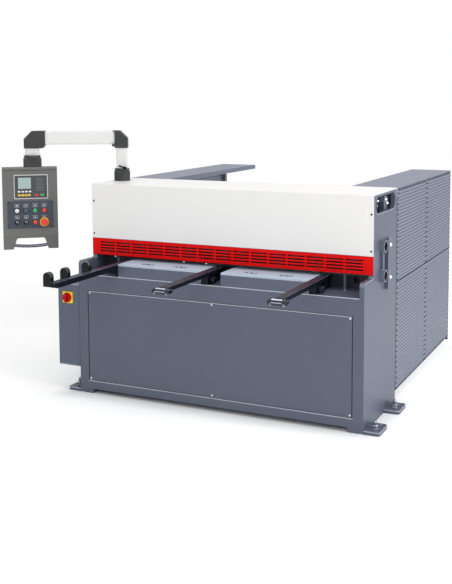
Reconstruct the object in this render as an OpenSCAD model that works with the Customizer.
// Mechanical guillotine shear for sheet metal: two side plates, bed and table, covered blade beam,
// slotted finger guard, squaring arm, support arms, perforated rear guards and a swivelling pendant.
// X runs along the blade, Y from the operator to the back, Z up from the floor.
// The origin is on the floor, at the centre of the four anchor holes in the foot pads.

/* [Frame] */
// Width over the two side plates
machine_w = 1700; // [1400:10:2200]
// Thickness of a side plate
side_t = 25; // [16:1:40]
// Depth of a side plate, from its front edge to its back edge
side_d = 590; // [560:5:700]
// Rise of the side plates' nose above the table
nose_rise = 4; // [2:1:12]
// Distance from the front edge of the side plates to the face of the cover
cover_y = 150; // [130:5:170]
// Height of the machine over the cover
machine_h = 1200; // [1150:5:1260]
// Thickness of the front plate and its ledge
front_t = 10; // [6:1:16]
// Gap between the front plate and the floor
toe_gap = 26; // [15:1:45]
// Diameter of the cross tube between the side plates
cross_tube_d = 140; // [100:5:160]

/* [Front panel] */
// Side margin of the recessed front panel
panel_side = 58; // [40:1:90]
// Height of the panel's lower edge
panel_low = 75; // [60:1:120]
// Distance of the panel's upper edge below the ledge
panel_drop = 92; // [60:1:150]
// Thickness of the panel's sheet
panel_t = 3; // [2:0.5:5]
// Gap around the panel's sheet
panel_gap = 2; // [1:0.5:4]

/* [Table and blades] */
// Height of the table's working face
table_h = 766; // [755:1:785]
// Height of a table block on the front frame's ledge
block_h = 72; // [64:2:80]
// Left end of the left table block, from the centre
table_left = 586; // [520:1:640]
// Right end of the left table block, from the centre, to the left
table_mid_l = 62; // [40:1:90]
// Left end of the right table block, from the centre, to the right
table_mid_r = 55; // [40:1:90]
// Right end of the right table block, from the centre
table_right = 556; // [500:1:600]
// Depth of the table in front of the lower blade
table_d = 230; // [200:5:250]
// Thickness of the bright wear strip on the table
strip_t = 6; // [4:1:10]
// Height of a shear blade
blade_h = 60; // [50:1:70]
// Thickness of a shear blade
blade_t = 18; // [12:1:24]
// Gap between the two blades, seen from above
blade_gap = 0.3; // [0.1:0.1:1]
// Opening between the blades at rest
blade_open = 14; // [8:1:20]
// Thickness of the bed plate that carries the lower blade
bed_t = 40; // [30:1:60]
// Number of hold-down feet
clamp_count = 9; // [5:1:13]

/* [Cover and finger guard] */
// Thickness of the cover's sheet
cover_t = 3; // [2:0.5:5]
// Gap between the table and the finger guard
finger_gap = 21; // [16:1:34]
// Height of the finger guard
finger_h = 97; // [80:1:110]
// Thickness of the finger guard
finger_t = 3; // [2:0.5:4]
// Rows of slots in the finger guard
slot_rows = 4; // [2:1:5]
// Height of a slot in the finger guard
slot_h = 8; // [5:1:12]
// Slots in a row of the finger guard
slot_count = 15; // [8:1:20]
// Web between two slots of a row
slot_web = 11; // [8:1:30]

/* [Squaring arm] */
// Width of the squaring arm
square_w = 41; // [30:1:60]
// Height of the squaring arm
square_h = 30; // [26:1:40]
// Reach of the squaring arm in front of the side plates
square_reach = 575; // [450:5:700]
// Width of a flip stop
stop_w = 50; // [36:1:60]
// Height of a flip stop
stop_h = 76; // [66:1:90]
// Thickness of a flip stop
stop_t = 24; // [16:1:32]
// Distance from the first flip stop to the second
stop_pitch_1 = 148; // [120:2:200]
// Distance from the second flip stop to the third
stop_pitch_2 = 200; // [120:2:240]
// Diameter of the pin of a flip stop
stop_pin_d = 12; // [8:1:16]

/* [Support arms] */
// Width of a support arm
support_w = 42; // [36:1:60]
// Height of a support arm
support_h = 24; // [20:1:34]
// Reach of a support arm in front of the side plates
support_reach = 452; // [350:4:600]
// Diameter of the roller at the end of a support arm
roller_d = 34; // [28:1:40]
// Length of a roller
roller_l = 74; // [64:1:110]
// Diameter of a roller's axle
axle_d = 12; // [8:1:16]

/* [Electric cabinet] */
// Width of the cabinet
cabinet_w = 150; // [120:2:220]
// Depth of the cabinet
cabinet_d = 380; // [250:5:430]
// Height of the cabinet's lower face
cabinet_low = 146; // [120:2:200]
// Height of the cabinet's upper face
cabinet_top = 628; // [560:2:660]
// Thickness of the cabinet's walls
cabinet_wall = 2; // [1.5:0.5:4]
// Thickness of the door's tray
door_t = 16; // [12:1:24]
// Side of the main switch's square plate
switch_w = 66; // [64:1:80]
// Diameter of the main switch's knob
knob_d = 56; // [44:1:60]

/* [Foot pads] */
// Width of a foot pad beside the side plate
pad_w = 85; // [70:1:110]
// Length of a foot pad
pad_l = 145; // [120:1:160]
// Thickness of a foot pad
pad_t = 20; // [12:1:30]
// Distance from the front pads to the rear pads
pad_pitch = 365; // [320:5:400]
// Diameter of the anchor hole in a foot pad
anchor_d = 18; // [14:1:22]
// Diameter of the levelling stud
stud_d = 20; // [14:1:24]

/* [Rear guards] */
// Length of the guards behind the side plates
guard_l = 1333; // [1000:5:1600]
// Height of the guards' lower edge
guard_z = 60; // [40:5:120]
// Depth of the guards' frame tubes
post_t = 28; // [20:1:40]
// Width of the guards' frame tubes
post_w = 30; // [20:1:40]
// Thickness of the perforated sheet
perf_t = 2; // [1:0.5:3]
// Width of the guards' top plates, inwards from the side plates
roof_w = 262; // [200:2:400]
// Height of the joint between the upper and lower sheets
seam_z = 676; // [600:1:760]

/* [Pendant arm] */
// Distance of the column from the outer face of the left side plate
column_in = 50; // [50:1:90]
// Distance of the column behind the front edge of the side plates
column_back = 405; // [300:5:480]
// Turn of the arm towards the operator at rest
arm_swing = 26; // [0:1:30]
// Distance from the column to the pendant's swivel
arm_l = 541; // [500:1:700]
// Turn of the pendant box beyond the arm at rest
pendant_turn = 12; // [0:1:40]
// Height of the arm's middle above the cover
arm_rise = 260; // [240:2:300]
// Height of the arm's profile
arm_h = 80; // [60:1:90]
// Width of the arm's profile
arm_w = 50; // [44:1:60]
// Width of the upright column
column_w = 62; // [50:1:70]
// Diameter of the column's base
base_d = 96; // [84:1:100]

/* [Pendant box] */
// Width of the pendant box
box_w = 325; // [300:1:380]
// Height of the pendant box without its grip
box_h = 404; // [390:1:440]
// Depth of the pendant box
box_d = 80; // [70:1:110]
// Offset of the box from its swivel, away from the column
box_shift = 19; // [0:1:40]
// Height of the grip below the box
grip_h = 89; // [80:1:110]
// Depth of the grip's legs
grip_d = 44; // [30:1:60]
// Width of the finger opening at its lower end
grip_hole_w = 208; // [170:2:230]
// Diameter of the grip's bar
grip_bar_d = 19; // [14:1:22]
// Width of the controller's frame
controller_w = 201; // [180:1:220]
// Height of the controller's frame
controller_h = 146; // [120:1:150]
// Spacing of the push buttons
button_pitch = 53.5; // [48:0.5:60]

/* [Hidden] */

$fn = 48;
eps = 0.01;
run_gap = 0.3;
paint = [0.38, 0.41, 0.47];
dark_paint = [0.10, 0.12, 0.19];
steel = [0.75, 0.76, 0.78];
white = [0.90, 0.90, 0.90];
red = [0.80, 0.08, 0.09];
black = [0.05, 0.05, 0.06];
pendant_grey = [0.36, 0.36, 0.36];

half_w = machine_w / 2;
inner_w = half_w - side_t;
nose_h = table_h + nose_rise;
ledge_h = table_h - block_h;
panel_top = ledge_h - panel_drop;
guard_low = table_h + finger_gap;
cover_low = guard_low + finger_h;
pad_hole_in = 26;
pad_hole_off = pad_l - pad_hole_in;
face_y = -(pad_hole_off + pad_pitch / 2);
blade_y = table_d;
guard_y = side_d + cover_t;
guard_end = guard_y + guard_l;
post_mid = guard_y + guard_l / 2;
arm_z = machine_h + arm_rise;

// Points of a polygon whose corners [x, y, radius] are rounded with short arcs
function unit(v) = v / norm(v);
function flat(p) = [p[0], p[1]];
function corner(a, p, b, r, n = 6) =
    r <= 0 ? [p] :
    let (
        u = unit(a - p),
        v = unit(b - p),
        half = acos(u * v) / 2,
        c = p + unit(u + v) * (r / sin(half)),
        s = p + u * (r / tan(half)) - c,
        e = p + v * (r / tan(half)) - c,
        start = atan2(s[1], s[0]),
        turn = atan2(e[1], e[0]) - start,
        sweep = turn > 180 ? turn - 360 : turn < -180 ? turn + 360 : turn
    )
    [for (i = [0 : n]) c + r * [cos(start + sweep * i / n), sin(start + sweep * i / n)]];
function rounded(pts) =
    let (n = len(pts))
    [for (i = [0 : n - 1])
        each corner(flat(pts[(i + n - 1) % n]), flat(pts[i]), flat(pts[(i + 1) % n]), pts[i][2])];

// Places measured from the front edge of the side plates
module at_face() translate([0, face_y, 0]) children();
// An outline drawn in Y and Z, extruded along X from x
module along_x(x, length) translate([x, 0, 0]) rotate([90, 0, 90]) linear_extrude(length) children();
// An outline drawn in X and Z, extruded along Y from y
module along_y(y, length)
    translate([0, y + length, 0]) rotate([90, 0, 0]) linear_extrude(length) children();
module box(low, high) translate(low) cube(high - low);
module slot_outline(length, height) {
    translate([-(length - height) / 2, 0]) circle(d = height);
    translate([(length - height) / 2, 0]) circle(d = height);
    square([length - height, height], center = true);
}

// A part drawn for the right side, or its mirror image for the left
module for_side(side) mirror([side < 0 ? 1 : 0, 0, 0]) children();

// Side plates: one flame-cut plate each, with a nose in front of the cover and a slot near the top
slot_front = 38;
slot_back = 36;
slot_open = 88;
slot_y0 = cover_y + slot_front;
slot_y1 = side_d - slot_back;
slot_z = machine_h - 62;
cover_room = max(cover_t, finger_t);
module side_outline()
    difference() {
        polygon(rounded([
            [0, 0, 4], [side_d, 0, 10], [side_d, machine_h - cover_t, 30],
            [cover_y + cover_room, machine_h - cover_t, 0], [cover_y + cover_room, nose_h, 8], [0, nose_h, 18]
        ]));
        translate([(slot_y0 + slot_y1) / 2, slot_z]) slot_outline(slot_y1 - slot_y0, slot_open);
    }
module side_plate(x) color(paint) at_face() along_x(x, side_t) side_outline();
module side_plate_left() side_plate(-half_w);
module side_plate_right() side_plate(half_w - side_t);

// Front frame: a bent plate with the ledge on top, a recess for the panel and a toe at each end
toe_w = 60;
toe_d = 60;
recess_rim = 24;
gusset_t = 8;
gusset_h = 74;
rod_x = 690;
rod_y = 176;
rod_d = 16;
module panel_outline(margin, r)
    polygon(rounded([
        [-half_w + panel_side + margin, panel_low + margin, r], [half_w - panel_side - margin, panel_low + margin, r],
        [half_w - panel_side - margin, panel_top - margin, r], [-half_w + panel_side + margin, panel_top - margin, r]
    ]));
module front_frame() color(paint) at_face() {
    difference() {
        union() {
            box([-inner_w, 0, toe_gap], [inner_w, front_t, ledge_h]);
            box([-inner_w, 0, ledge_h - front_t], [inner_w, table_d, ledge_h]);
            box([-inner_w, 0, toe_gap], [inner_w, toe_d, toe_gap + front_t]);
            for (side = [-1, 1])
                for_side(side) box([inner_w - toe_w, 0, 0], [inner_w, toe_d, toe_gap + eps]);
            for (x = [-0.5, 0, 0.5])
                along_x(x * inner_w - gusset_t / 2, gusset_t)
                    polygon([[front_t - eps, ledge_h - front_t + eps], [table_d - 20, ledge_h - front_t + eps],
                        [front_t - eps, ledge_h - front_t - gusset_h]]);
        }
        along_y(-1, panel_t + 2) panel_outline(0, 0);
        along_y(-1, front_t + 2) panel_outline(recess_rim, 12);
    }
    for (side = [-1, 1])
        for_side(side) translate([rod_x, rod_y, ledge_h - eps]) cylinder(d = rod_d, h = hold_low - ledge_h + eps);
}
// Front panel: a plain sheet screwed into the recess
module front_panel() color(paint) at_face() along_y(1, panel_t) panel_outline(panel_gap, 0);

// Cross tube welded between the side plates, low at the back
tube_wall = 10;
cross_tube_z = 320;
module cross_tube() color(paint) at_face()
    translate([-inner_w, side_d - cross_tube_d / 2 - 20, cross_tube_z]) rotate([0, 90, 0])
        difference() {
            cylinder(d = cross_tube_d, h = 2 * inner_w);
            translate([0, 0, -1]) cylinder(d = cross_tube_d - 2 * tube_wall, h = 2 * inner_w + 2);
        }

// Bed plate: the upright plate behind the table, with the lower blade let into its rear edge
bed_below = 1;
bed_top = table_h - bed_below;
bed_low = 430;
bed_flange = 90;
bed_flange_t = 20;
module bed_plate() color(dark_paint) at_face()
    difference() {
        union() {
            box([-inner_w, blade_y, bed_low], [inner_w, blade_y + bed_t, bed_top]);
            box([-inner_w, blade_y + bed_t - eps, bed_low], [inner_w, blade_y + bed_t + bed_flange, bed_low + bed_flange_t]);
        }
        box([-inner_w - 1, blade_y + bed_t - blade_t, bed_top - blade_h], [inner_w + 1, blade_y + bed_t + 1, bed_top + 1]);
    }
blade_end = 6;
module lower_blade() color(steel) at_face()
    box([-inner_w + blade_end, blade_y + bed_t - blade_t, bed_top - blade_h],
        [inner_w - blade_end, blade_y + bed_t, table_h]);

// Table blocks: steel blocks on the ledge, each under a bright wear strip with two T-slots
block_gap = 2;
t_slot_l = 46;
t_slot_w = 9;
t_slot_y = 62;
t_slot_deep = 20;
module t_slots(x0, x1)
    for (share = [0.3, 0.7])
        translate([x0 + (x1 - x0) * share, t_slot_y, table_h - t_slot_deep])
            linear_extrude(t_slot_deep + 1) slot_outline(t_slot_l, t_slot_w);
module table_block(x0, x1) color(paint) at_face()
    difference() {
        box([x0, 0, ledge_h], [x1, table_d - block_gap, table_h - strip_t]);
        t_slots(x0, x1);
    }
module wear_strip(x0, x1) color(steel) at_face()
    difference() {
        box([x0, 1, table_h - strip_t], [x1, table_d - block_gap, table_h]);
        t_slots(x0, x1);
    }
module table_block_left() table_block(-table_left, -table_mid_l);
module table_block_right() table_block(table_mid_r, table_right);
module wear_strip_left() wear_strip(-table_left, -table_mid_l);
module wear_strip_right() wear_strip(table_mid_r, table_right);

// Blade beam: a plate stiffened with flanges and ribs, closed by a dark plate behind each side slot
beam_low = table_h + blade_open;
beam_y = blade_y + bed_t + blade_gap;
beam_end = 8;
beam_plate_t = 30;
beam_plate_y = beam_y + blade_t;
beam_top = machine_h - 50;
flange_t = 20;
flange_low = cover_low - 4;
flange_high = beam_top - 90;
flange_y = beam_plate_y + beam_plate_t;
rib_t = 12;
hanger_t = 26;
hanger_d = 60;
hanger_y = blade_y + bed_t + 148;
end_plate_t = 10;
module blade_beam() color(dark_paint) at_face() {
    box([-inner_w + beam_end, beam_plate_y, beam_low + 4], [inner_w - beam_end, flange_y, beam_top]);
    for (z = [flange_low, flange_high])
        box([-inner_w + beam_end, flange_y - eps, z], [inner_w - beam_end, hanger_y, z + flange_t]);
    for (x = [-0.75 : 0.25 : 0.75])
        box([x * inner_w - rib_t / 2, flange_y - eps, flange_low + flange_t - eps],
            [x * inner_w + rib_t / 2, hanger_y - 20, flange_high + eps]);
    for (side = [-1, 1])
        for_side(side) box([inner_w - hanger_t - end_plate_t, slot_y0 - 10, flange_high],
            [inner_w - hanger_t, slot_y1 + 10, machine_h - 12]);
}
module upper_blade() color(steel) at_face()
    box([-inner_w + beam_end, beam_y, beam_low], [inner_w - beam_end, beam_y + blade_t, beam_low + blade_h]);

// Hold-down beam in front of the blade: a square beam with a row of round clamping feet
hold_low = guard_low + 63;
hold_h = 80;
hold_d = 60;
hold_y = cover_y + 14;
clamp_d = 44;
clamp_t = 12;
clamp_rod_d = 26;
clamp_in = 80;
clamp_pitch = 2 * (inner_w - clamp_in) / (clamp_count - 1);
module hold_down_beam() color(dark_paint) at_face() {
    box([-inner_w, hold_y, hold_low], [inner_w, hold_y + hold_d, hold_low + hold_h]);
    for (i = [0 : clamp_count - 1])
        translate([-inner_w + clamp_in + i * clamp_pitch, hold_y + hold_d / 2, 0]) {
            translate([0, 0, beam_low]) cylinder(d = clamp_d, h = clamp_t);
            translate([0, 0, beam_low + clamp_t - eps]) cylinder(d = clamp_rod_d, h = hold_low - beam_low - clamp_t + 1);
        }
}

// Hangers: the rounded levers behind the side plates' slots, which carry the ends of the blade beam
module hanger(side) color(paint) at_face()
    for_side(side) along_x(inner_w - hanger_t, hanger_t)
        polygon(rounded([[hanger_y, flange_low - 10, 10], [hanger_y + hanger_d, flange_low - 10, 10],
            [hanger_y + hanger_d, slot_z + 30, 28], [hanger_y, slot_z + 30, 28]]));
module beam_hanger_left() hanger(-1);
module beam_hanger_right() hanger(1);

// Top cover: one folded sheet over the front and the top, with a short fold down the back
back_fold = 60;
module top_cover() color(white) at_face()
    along_x(-half_w, machine_w)
        polygon(rounded([[cover_y, cover_low, 0], [cover_y, machine_h, 5], [side_d + cover_t, machine_h, 5],
            [side_d + cover_t, machine_h - back_fold, 0], [side_d, machine_h - back_fold, 0],
            [side_d, machine_h - cover_t, 2], [cover_y + cover_t, machine_h - cover_t, 0],
            [cover_y + cover_t, cover_low, 0]]));

// Finger guard: a sheet with rows of slots below the cover, and upright straps behind its slots
finger_seam = 2;
finger_top = cover_low - finger_seam;
finger_rim = 14;
finger_end = 24;
finger_lip = 9;
slot_row_pitch = (finger_top - guard_low - 2 * finger_rim) / slot_rows;
slot_step = 2 * (inner_w - finger_end) / slot_count;
strap_w = slot_step * 0.48;
module finger_slots()
    for (row = [0 : slot_rows - 1])
        for (i = [0 : slot_count - 1])
            translate([-inner_w + finger_end + (i + 0.5) * slot_step, guard_low + finger_rim + slot_row_pitch * (row + 0.5)])
                square([slot_step - slot_web, slot_h], center = true);
module finger_guard() color(red) at_face() {
    difference() {
        box([-half_w, cover_y, guard_low], [half_w, cover_y + finger_t, finger_top]);
        along_y(cover_y - 1, finger_t + 2) finger_slots();
    }
    for (z = [guard_low, finger_top - 3])
        box([-inner_w, cover_y + finger_t - eps, z], [inner_w, cover_y + finger_t + finger_lip, z + 3]);
    for (i = [0 : slot_count])
        translate([-inner_w + finger_end + (i - 0.25) * slot_step, 0, 0])
            box([max(0, finger_end / 2 - i * slot_step), cover_y + finger_t + finger_lip - 2, guard_low],
                [i == slot_count ? slot_step * 0.25 : strap_w, cover_y + finger_t + finger_lip, finger_top]);
}

// Guides: on each side plate, a thick guide plate and two round bosses with a socket in each
guide_t = 18;
guide_y = 362;
guide_w = 68;
guide_low = 676;
guide_top = 952;
link_w = 28;
link_t = 14;
boss_y = 290;
boss_z = [762, 918];
boss_d = 66;
boss_l = 26;
boss_wall = 7;
boss_deep = 20;
module guide(side) color(paint) at_face() for_side(side) {
    along_x(half_w, guide_t)
        polygon(rounded([[guide_y, guide_low, 6], [guide_y + guide_w, guide_low, 6],
            [guide_y + guide_w, guide_top - 14, 20], [guide_y + guide_w * 0.5, guide_top, 20], [guide_y, guide_top - 16, 10]]));
    difference() {
        union() {
            box([half_w, boss_y - link_w / 2, boss_z[0]], [half_w + link_t, boss_y + link_w / 2, boss_z[1]]);
            for (z = boss_z)
                translate([half_w, boss_y, z]) rotate([0, 90, 0]) cylinder(d = boss_d, h = boss_l);
        }
        for (z = boss_z)
            translate([half_w + boss_l - boss_deep, boss_y, z]) rotate([0, 90, 0])
                cylinder(d = boss_d - 2 * boss_wall, h = boss_deep + 1);
    }
}
module guide_left() guide(-1);
module guide_right() guide(1);

// Squaring arm: a solid bar at the left end of the table, with a bracket under it
square_x = -table_left - run_gap;
square_low = table_h - square_h;
square_back = table_d - 60;
groove_w = 10;
groove_deep = 8;
stop_in = 4;
stop_at = [0, stop_pitch_1, stop_pitch_1 + stop_pitch_2];
stop_y0 = stop_in - square_reach;
stop_axis_z = square_low + 15;
stop_gap = 1;
module squaring_arm() color(dark_paint) at_face() {
    difference() {
        box([square_x - square_w, -square_reach, square_low], [square_x, square_back, table_h]);
        box([square_x - (square_w + groove_w) / 2, -square_reach - 1, table_h - groove_deep],
            [square_x - (square_w - groove_w) / 2, square_back + 1, table_h + 1]);
    }
    along_x(square_x - square_w, square_w)
        polygon([[-90, square_low + eps], [20, square_low + eps], [60, ledge_h], [2, ledge_h]]);
    for (y = stop_at)
        translate([square_x - square_w + eps, stop_y0 + y + stop_t / 2, stop_axis_z])
            rotate([0, -90, 0]) cylinder(d = stop_pin_d, h = stop_w + 4);
}
// Flip stop: a black block with a round top that swings down beside the bar
module flip_stop(i) color(black) at_face()
    translate([0, stop_y0 + stop_at[i], 0])
        difference() {
            along_y(0, stop_t)
                polygon(rounded([[square_x - square_w - stop_gap, square_low, 2],
                    [square_x - square_w - stop_gap, square_low + stop_h, stop_w / 2 - 1],
                    [square_x - square_w - stop_gap - stop_w, square_low + stop_h, stop_w / 2 - 1],
                    [square_x - square_w - stop_gap - stop_w, square_low, 2]]));
            translate([square_x - square_w + 10, stop_t / 2, stop_axis_z])
                rotate([0, -90, 0]) cylinder(d = stop_pin_d + 0.1, h = stop_w + 30);
        }
module flip_stop_1() flip_stop(0);
module flip_stop_2() flip_stop(1);
module flip_stop_3() flip_stop(2);

// Support arm: a bar with a fork for the roller, two brackets on the ledge and a clamping knob
roller_y = -support_reach - roller_d / 2 - 8;
roller_z = table_h - 1 - roller_d / 2;
roller_play = 2;
cheek_t = 9;
cheek_r = 12;
arm_under = table_h - 1 - support_h;
arm_back = table_d - 20;
bracket_in = 4;
bracket_d = 88;
clamp_knob_d = 34;
clamp_knob_l = 24;
module support_arm(x) color(dark_paint) at_face() {
    mid = x + support_w / 2;
    fork = roller_l / 2 + roller_play;
    difference() {
        box([x, -support_reach, arm_under], [x + support_w, arm_back, table_h - 1]);
        box([mid - groove_w / 2, -support_reach - 1, table_h - 1 - groove_deep], [mid + groove_w / 2, table_d, table_h]);
    }
    box([mid - fork - cheek_t, -support_reach - 4, arm_under], [mid + fork + cheek_t, -support_reach + 6, table_h - 10]);
    for (side = [-1, 1])
        along_x(mid + side * (fork + cheek_t / 2) - cheek_t / 2, cheek_t)
            polygon(rounded([[roller_y - cheek_r, roller_z - cheek_r, cheek_r - 2], [-support_reach, arm_under, 0],
                [-support_reach, table_h - 10, 0], [roller_y - cheek_r, roller_z + cheek_r, cheek_r - 2]]));
    translate([mid, roller_y, roller_z]) rotate([0, 90, 0])
        cylinder(d = axle_d, h = 2 * (fork + cheek_t), center = true);
    for (y = [2, arm_back - bracket_d])
        box([x + bracket_in, y, ledge_h], [x + support_w - bracket_in, y + bracket_d, arm_under + eps]);
    translate([x + support_w - bracket_in - eps, 44, ledge_h + 22]) rotate([0, 90, 0]) {
        cylinder(d = 14, h = 8);
        translate([0, 0, 7]) cylinder(d = clamp_knob_d, h = clamp_knob_l - 7);
    }
}
arm_gap = 2;
support_x1 = -table_mid_l + arm_gap;
support_x2 = table_right + arm_gap;
module support_arm_1() support_arm(support_x1);
module support_arm_2() support_arm(support_x2);

// Roller: a ground tube turning on the fork's axle
module roller(x) color(steel) at_face()
    translate([x + support_w / 2, roller_y, roller_z]) rotate([0, 90, 0])
        difference() {
            cylinder(d = roller_d, h = roller_l, center = true);
            cylinder(d = axle_d + 0.1, h = roller_l + 2, center = true);
        }
module roller_1() roller(support_x1);
module roller_2() roller(support_x2);

// Electric cabinet: a sheet housing on the left side plate, with a door and the main switch in it
cabinet_x1 = -half_w;
cabinet_x0 = cabinet_x1 - cabinet_w;
cabinet_y = 6;
door_gap = 0.3;
door_edge = 5;
knuckle_d = 10;
knuckle_h = 24;
leaf_t = 3;
hinge_pin_d = 5;
hinge_x = cabinet_x0 - knuckle_d / 2 - run_gap;
hinge_y = cabinet_y + door_t + door_gap / 2;
hinge_z = [cabinet_low + 60, cabinet_top - 60 - 2 * knuckle_h];
module knuckle(leaf_y, sunk = 0) {
    cylinder(d = knuckle_d, h = knuckle_h - door_gap);
    translate([0, leaf_y, 0]) cube([cabinet_x0 - hinge_x + sunk, leaf_t, knuckle_h - door_gap]);
}
module electric_cabinet() color(paint) at_face()
    difference() {
        box([cabinet_x0, cabinet_y + door_t + door_gap, cabinet_low], [cabinet_x1, cabinet_y + cabinet_d, cabinet_top]);
        box([cabinet_x0 + cabinet_wall, cabinet_y, cabinet_low + cabinet_wall],
            [cabinet_x1 - cabinet_wall, cabinet_y + cabinet_d - cabinet_wall, cabinet_top - cabinet_wall]);
    }
// Cabinet hinges: the lower halves of two weld-on hinges, each with its pin, on the cabinet's left wall
module cabinet_hinges() color(paint) at_face()
    for (z = hinge_z)
        translate([hinge_x, hinge_y, z]) {
            knuckle(knuckle_d / 2 - leaf_t);
            cylinder(d = hinge_pin_d, h = 2 * knuckle_h - 2);
        }
module cabinet_door() color(paint) at_face() {
    difference() {
        box([cabinet_x0, cabinet_y, cabinet_low], [cabinet_x1 - door_edge, cabinet_y + door_t, cabinet_top]);
        box([cabinet_x0 + cabinet_wall, cabinet_y + cabinet_wall, cabinet_low + cabinet_wall],
            [cabinet_x1 - door_edge - cabinet_wall, cabinet_y + door_t + 1, cabinet_top - cabinet_wall]);
    }
    for (z = hinge_z)
        translate([hinge_x, hinge_y, z + knuckle_h])
            difference() {
                knuckle(-knuckle_d / 2, eps);
                translate([0, 0, -1]) cylinder(d = hinge_pin_d + 0.2, h = knuckle_h + 2);
            }
}
switch_x = cabinet_x0 + 69;
switch_z = cabinet_top - 80;
switch_t = 8;
switch_r = 5;
module switch_plate() color("gold") at_face()
    translate([switch_x, cabinet_y, switch_z]) rotate([90, 0, 0]) linear_extrude(switch_t)
        polygon(rounded([[-switch_w / 2, -switch_w / 2, switch_r], [switch_w / 2, -switch_w / 2, switch_r],
            [switch_w / 2, switch_w / 2, switch_r], [-switch_w / 2, switch_w / 2, switch_r]]));
knob_base = 10;
knob_bar_w = 12;
knob_bar_h = 16;
module switch_knob() color(red) at_face()
    translate([switch_x, cabinet_y - switch_t - run_gap, switch_z]) rotate([90, 0, 0]) {
        cylinder(d = knob_d, h = knob_base);
        translate([-knob_bar_w / 2, -knob_d / 2 + 3, knob_base - eps]) cube([knob_bar_w, knob_d - 6, knob_bar_h]);
    }

// Foot pads: a thick plate welded outside the side plate, an anchor hole and a levelling stud
pad_r = 14;
stud_in = 44;
stud_y = 60;
stud_h = 38;
nut_h = 12;
module foot(side, y) color(paint) at_face()
    for_side(side) translate([half_w, y, 0]) {
        difference() {
            linear_extrude(pad_t) polygon(rounded([[0, 0, 0], [pad_w, 0, pad_r], [pad_w, pad_l, pad_r], [0, pad_l, 0]]));
            translate([pad_w - pad_hole_in, pad_hole_off, -1]) cylinder(d = anchor_d, h = pad_t + 2);
        }
        translate([stud_in, stud_y, pad_t - eps]) {
            cylinder(d = stud_d * 1.6, h = nut_h, $fn = 6);
            cylinder(d = stud_d, h = stud_h);
        }
    }
module foot_front_left() foot(-1, 0);
module foot_front_right() foot(1, 0);
module foot_rear_left() foot(-1, pad_pitch);
module foot_rear_right() foot(1, pad_pitch);

// Rear guards: a tube frame behind each side plate, with perforated sheets and a top plate
roof_t = 3;
roof_lip = 25;
tab_h = 60;
sheet_gap = 2;
guard_top = machine_h - roof_t;
module guard_frame(side) color(paint) at_face() for_side(side) {
    x0 = half_w - post_t;
    for (y = [guard_y, post_mid - post_w / 2, guard_end - post_w])
        box([x0, y, guard_z], [half_w, y + post_w, guard_top]);
    for (z = [guard_z, seam_z - post_w / 2, guard_top - post_w])
        box([x0, guard_y, z], [half_w, guard_end, z + post_w]);
    for (z = [guard_z + tab_h, seam_z - 2 * tab_h, machine_h - back_fold - 2 * tab_h])
        box([x0, side_d, z], [half_w, guard_y + eps, z + tab_h]);
}
module guard_frame_left() guard_frame(-1);
module guard_frame_right() guard_frame(1);
module guard_sheets(side, y0, y1) color(paint) at_face() for_side(side) {
    box([half_w, y0, guard_z], [half_w + perf_t, y1, seam_z - sheet_gap / 2]);
    box([half_w, y0, seam_z + sheet_gap / 2], [half_w + perf_t, y1, guard_top]);
}
module guard_sheets_left_front() guard_sheets(-1, guard_y, post_mid - sheet_gap / 2);
module guard_sheets_left_rear() guard_sheets(-1, post_mid + sheet_gap / 2, guard_end);
module guard_sheets_right_front() guard_sheets(1, guard_y, post_mid - sheet_gap / 2);
module guard_sheets_right_rear() guard_sheets(1, post_mid + sheet_gap / 2, guard_end);
module guard_roof(side) color(paint) at_face() for_side(side) {
    x0 = half_w - roof_w;
    box([x0, guard_y, guard_top], [half_w + perf_t, guard_end, machine_h]);
    box([x0, guard_y, guard_top - roof_lip], [x0 + roof_t, guard_end, guard_top + eps]);
    box([x0, guard_end - roof_t, guard_top - roof_lip], [half_w - post_t, guard_end, guard_top + eps]);
}
module guard_roof_left() guard_roof(-1);
module guard_roof_right() guard_roof(1);

// Rear chute: a folded sheet that slopes from the bed plate to the back
chute_t = 3;
chute_top = 640;
chute_bend = 604;
chute_low = 300;
chute_end = side_d + 160;
module rear_chute() color(steel) at_face()
    along_x(-inner_w + 20, 2 * inner_w - 40)
        polygon([[blade_y + bed_t, chute_top], [blade_y + bed_t + chute_t, chute_top],
            [blade_y + bed_t + chute_t, chute_bend], [chute_end, chute_low], [chute_end, chute_low - 4],
            [blade_y + bed_t, chute_bend - 4]]);
// Back gauge: a stop bar on two guide bars that reach back from the bed plate
gauge_x = 0.6 * inner_w;
gauge_w = 44;
gauge_h = 40;
gauge_drop = 36;
gauge_short = 420;
gauge_room = 150;
slide_out = 8;
slide_l = 70;
slide_h = 15;
stop_bar_t = 20;
stop_bar_h = 50;
gauge_top = table_h - gauge_drop;
gauge_end = guard_end - gauge_short;
gauge_at = gauge_end - gauge_room;
module back_gauge() color(dark_paint) at_face() {
    for (x = [-gauge_x, gauge_x]) {
        box([x - gauge_w / 2, blade_y + bed_t, gauge_top - gauge_h], [x + gauge_w / 2, gauge_end, gauge_top]);
        box([x - gauge_w / 2 - slide_out, gauge_at, gauge_top - eps],
            [x + gauge_w / 2 + slide_out, gauge_at + slide_l, gauge_top + slide_h]);
    }
    box([-inner_w * 0.8, gauge_at, gauge_top + slide_h - eps],
        [inner_w * 0.8, gauge_at + stop_bar_t, gauge_top + slide_h + stop_bar_h]);
}

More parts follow.
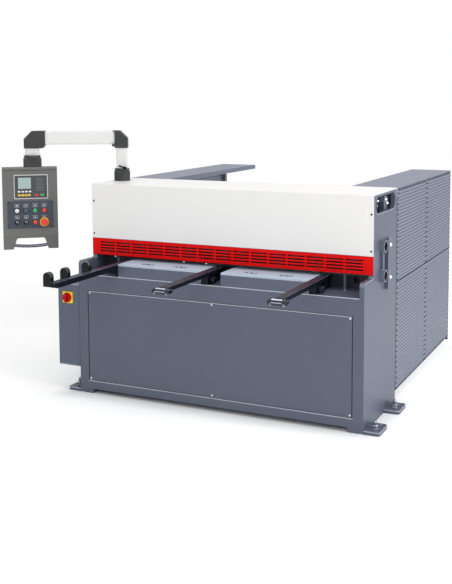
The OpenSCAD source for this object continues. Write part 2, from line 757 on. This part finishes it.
// Pendant arm: a base on the cover, a turning column, a level tube and a head for the pendant
module at_column() at_face()
    translate([-half_w + column_in, column_back, 0]) rotate([0, 0, arm_swing]) children();
module at_head() at_column() translate([-arm_l, 0, 0]) children();
base_h = 59;
ring_h = 16;
ring_top = machine_h + base_h + ring_h;
lever_l = 46;
module arm_base() color(pendant_grey) at_column()
    translate([0, 0, machine_h]) {
        cylinder(d = base_d, h = base_h);
        translate([0, 0, base_h - eps]) cylinder(d = base_d - 8, h = ring_h);
        translate([0, -base_d / 2 - 2, base_h + 4]) cube([lever_l, 14, 9]);
    }
tube_low = arm_z - arm_h / 2;
tube_high = arm_z + arm_h / 2;
elbow_low = tube_low - 22;
elbow_top = tube_high + 3;
elbow_d = arm_w + 12;
elbow_left = 40;
elbow_right = 38;
elbow_cut = 46;
elbow_lip = 12;
module profile(w)
    polygon(rounded([[-w / 2, -arm_w / 2, 8], [w / 2, -arm_w / 2, 8], [w / 2, arm_w / 2, 8], [-w / 2, arm_w / 2, 8]]));
module arm_column() color(white) at_column()
    translate([0, 0, ring_top + run_gap]) linear_extrude(elbow_low - ring_top - run_gap) profile(column_w);
module arm_elbow() color(pendant_grey) at_column() {
    along_y(-elbow_d / 2, elbow_d)
        polygon(rounded([[-elbow_left, elbow_low, 3], [elbow_right, elbow_low, 3],
            [elbow_right, elbow_top - elbow_cut, 4], [elbow_right - elbow_cut, elbow_top, 4], [-elbow_left, elbow_top, 2]]));
    box([-elbow_left - elbow_lip, -elbow_d / 2 + 2, tube_high], [-elbow_left + eps, elbow_d / 2 - 2, elbow_top]);
    translate([-elbow_left - 6, -elbow_d / 2, elbow_low + 18]) rotate([90, 0, 0]) cylinder(d = 18, h = 14);
    box([-elbow_left - 8, -elbow_d / 2 - eps, elbow_low + 10], [-elbow_left + 10, -elbow_d / 2 + 10, elbow_low + 18]);
}
head_left = 44;
head_right = 84;
head_cut = 48;
module arm_tube() color(white) at_column()
    along_x(head_right - arm_l, arm_l - head_right - elbow_left)
        polygon(rounded([[-arm_w / 2, tube_low, 8], [arm_w / 2, tube_low, 8], [arm_w / 2, tube_high, 8], [-arm_w / 2, tube_high, 8]]));
module arm_head() color(pendant_grey) at_head()
    along_y(-elbow_d / 2, elbow_d)
        polygon(rounded([[-head_left, elbow_low, 6], [head_right - 18, elbow_low, 4], [head_right, elbow_low + 22, 3],
            [head_right, elbow_top, 3], [head_cut - head_left, elbow_top, 4], [-head_left, elbow_top - head_cut, 4]]));
// Head tube: the short light tube that joins the head to the pendant's clamping ring
head_tube_h = 42;
module head_tube() color(white) at_head()
    translate([0, 0, elbow_low - head_tube_h]) linear_extrude(head_tube_h) profile(arm_h);

// Pendant neck: a clamping ring over a socket with rounded corners
module at_pendant() at_head() rotate([0, 0, pendant_turn]) children();
neck_top = elbow_low - head_tube_h - run_gap;
neck_ring_d = 99;
neck_ring_h = 18;
socket_h = 52;
socket_w = 108;
socket_d = 72;
box_top = neck_top - neck_ring_h - socket_h;
box_low = box_top - box_h;
box_front = -box_d / 2;
module pendant_neck() color(pendant_grey) at_pendant() {
    translate([0, 0, neck_top - neck_ring_h]) cylinder(d = neck_ring_d, h = neck_ring_h);
    translate([0, 0, box_top]) linear_extrude(socket_h + eps)
        polygon(rounded([[-socket_w / 2, -socket_d / 2, 10], [socket_w / 2, -socket_d / 2, 10],
            [socket_w / 2, socket_d / 2, 10], [-socket_w / 2, socket_d / 2, 10]]));
}
// Pendant box: a housing with a lip along the top and a sill that slopes forwards along the bottom
module at_box() at_pendant() translate([-box_shift, 0, box_top]) children();
lip_h = 17;
lip_out = 4;
sill_h = 29;
sill_out = 14;
sill_front = box_front - sill_out;
module pendant_box() color(pendant_grey) at_box()
    along_x(-box_w / 2, box_w)
        polygon(rounded([[sill_front, -box_h, 0], [box_front, sill_h - box_h, 0], [box_front, -lip_h - 5, 0],
            [box_front + 4, -lip_h - 5, 0], [box_front + 4, -lip_h, 0], [box_front - lip_out, -lip_h, 0],
            [box_front - lip_out, 0, 4], [-box_front, 0, 10], [-box_front, -box_h, 10]]));
// Grip: a skirt with two legs below the box, and a bowed bar between the legs
hole_taper = 23;
hole_top = 22;
bar_drop = 69;
bar_sag = 8;
module pendant_grip() color(pendant_grey) at_box()
    translate([0, 0, -box_h])
        along_y(sill_front, grip_d)
            polygon(rounded([[-box_w / 2, 0, 0], [-box_w / 2, -grip_h, 4], [-grip_hole_w / 2, -grip_h, 3],
                [hole_taper - grip_hole_w / 2, -hole_top, 12], [grip_hole_w / 2 - hole_taper, -hole_top, 12],
                [grip_hole_w / 2, -grip_h, 3], [box_w / 2, -grip_h, 4], [box_w / 2, 0, 0]]));
bar_half = grip_hole_w / 2;
bar_r = (bar_half * bar_half + bar_sag * bar_sag) / (2 * bar_sag);
bar_turn = asin(bar_half / bar_r);
module grip_bar() color(steel) at_box()
    difference() {
        translate([0, sill_front + grip_bar_d / 2 + 4, bar_r - bar_sag - box_h - bar_drop + bar_sag / 2])
            rotate([90, 0, 0]) rotate([0, 0, -90 - bar_turn])
                rotate_extrude(angle = 2 * bar_turn, $fn = 240) translate([bar_r, 0]) circle(d = grip_bar_d, $fn = 32);
        pendant_legs_room();
    }
module pendant_legs_room()
    for (side = [-1, 1])
        for_side(side) translate([0, 0, -box_h]) along_y(sill_front - 1, grip_d + 2)
            polygon([[bar_half, -grip_h - 1], [bar_half - hole_taper * (grip_h - hole_top + 1) / (grip_h - hole_top), -hole_top + 1],
                [box_w, -hole_top + 1], [box_w, -grip_h - 1]]);
controller_x = 6;
controller_drop = 44;
controller_t = 6;
module controller() color("gainsboro") at_box()
    along_y(box_front - controller_t, controller_t)
        polygon(rounded([
            [controller_x - controller_w / 2, -controller_drop - controller_h, 5],
            [controller_x + controller_w / 2, -controller_drop - controller_h, 5],
            [controller_x + controller_w / 2, -controller_drop, 5],
            [controller_x - controller_w / 2, -controller_drop, 5]]));
plate_w = box_w - 55;
plate_t = 3;
plate_face = box_front - plate_t;
plate_rim = 36;
plate_gap = 13;
plate_low = plate_rim - box_h;
plate_high = -controller_drop - controller_h - plate_gap;
plate_h = plate_high - plate_low;
button_d = 27;
button_h = 12;
upper_share = 0.6545;
lower_share = 0.2242;
upper_row = plate_low + plate_h * upper_share;
lower_row = plate_low + plate_h * lower_share;
stop_x = 1.5 * button_pitch + 1;
stop_stem_d = 26;
stop_head_d = 40;
stop_collar_d = 54;
stop_collar_h = 7;
stop_travel = 4;
module button_plate() color([0.22, 0.23, 0.26]) at_box() {
    along_y(plate_face, plate_t)
        polygon(rounded([[-plate_w / 2, plate_low, 5], [plate_w / 2, plate_low, 5],
            [plate_w / 2, plate_high, 5], [-plate_w / 2, plate_high, 5]]));
    for (i = [-1.5 : 1 : 1.5], z = [lower_row, upper_row])
        if (i < 1 || z == upper_row)
            translate([i * button_pitch + 1, plate_face + eps, z]) rotate([90, 0, 0]) cylinder(d = button_d, h = button_h);
    translate([stop_x, plate_face + eps, lower_row]) rotate([90, 0, 0])
        difference() {
            cylinder(d = stop_collar_d, h = stop_collar_h);
            translate([0, 0, eps]) cylinder(d = stop_stem_d + 2 * run_gap, h = stop_collar_h + 1);
        }
}
// Emergency stop: a mushroom head whose stem slides in the collar
module emergency_stop() color(red) at_box()
    translate([stop_x, plate_face - stop_travel - run_gap, lower_row]) rotate([90, 0, 0]) {
        cylinder(d = stop_stem_d, h = stop_collar_h + 2);
        translate([0, 0, stop_collar_h + 1]) cylinder(d = stop_head_d, h = 14);
    }

side_plate_left();
side_plate_right();
front_frame();
front_panel();
cross_tube();
bed_plate();
table_block_left();
table_block_right();
wear_strip_left();
wear_strip_right();
lower_blade();
blade_beam();
upper_blade();
hold_down_beam();
beam_hanger_left();
beam_hanger_right();
top_cover();
finger_guard();
guide_left();
guide_right();
squaring_arm();
flip_stop_1();
flip_stop_2();
flip_stop_3();
support_arm_1();
support_arm_2();
roller_1();
roller_2();
electric_cabinet();
cabinet_hinges();
cabinet_door();
switch_plate();
switch_knob();
foot_front_left();
foot_front_right();
foot_rear_left();
foot_rear_right();
guard_frame_left();
guard_frame_right();
guard_sheets_left_front();
guard_sheets_left_rear();
guard_sheets_right_front();
guard_sheets_right_rear();
guard_roof_left();
guard_roof_right();
rear_chute();
back_gauge();
arm_base();
arm_column();
arm_elbow();
arm_tube();
arm_head();
head_tube();
pendant_neck();
pendant_box();
pendant_grip();
grip_bar();
controller();
button_plate();
emergency_stop();
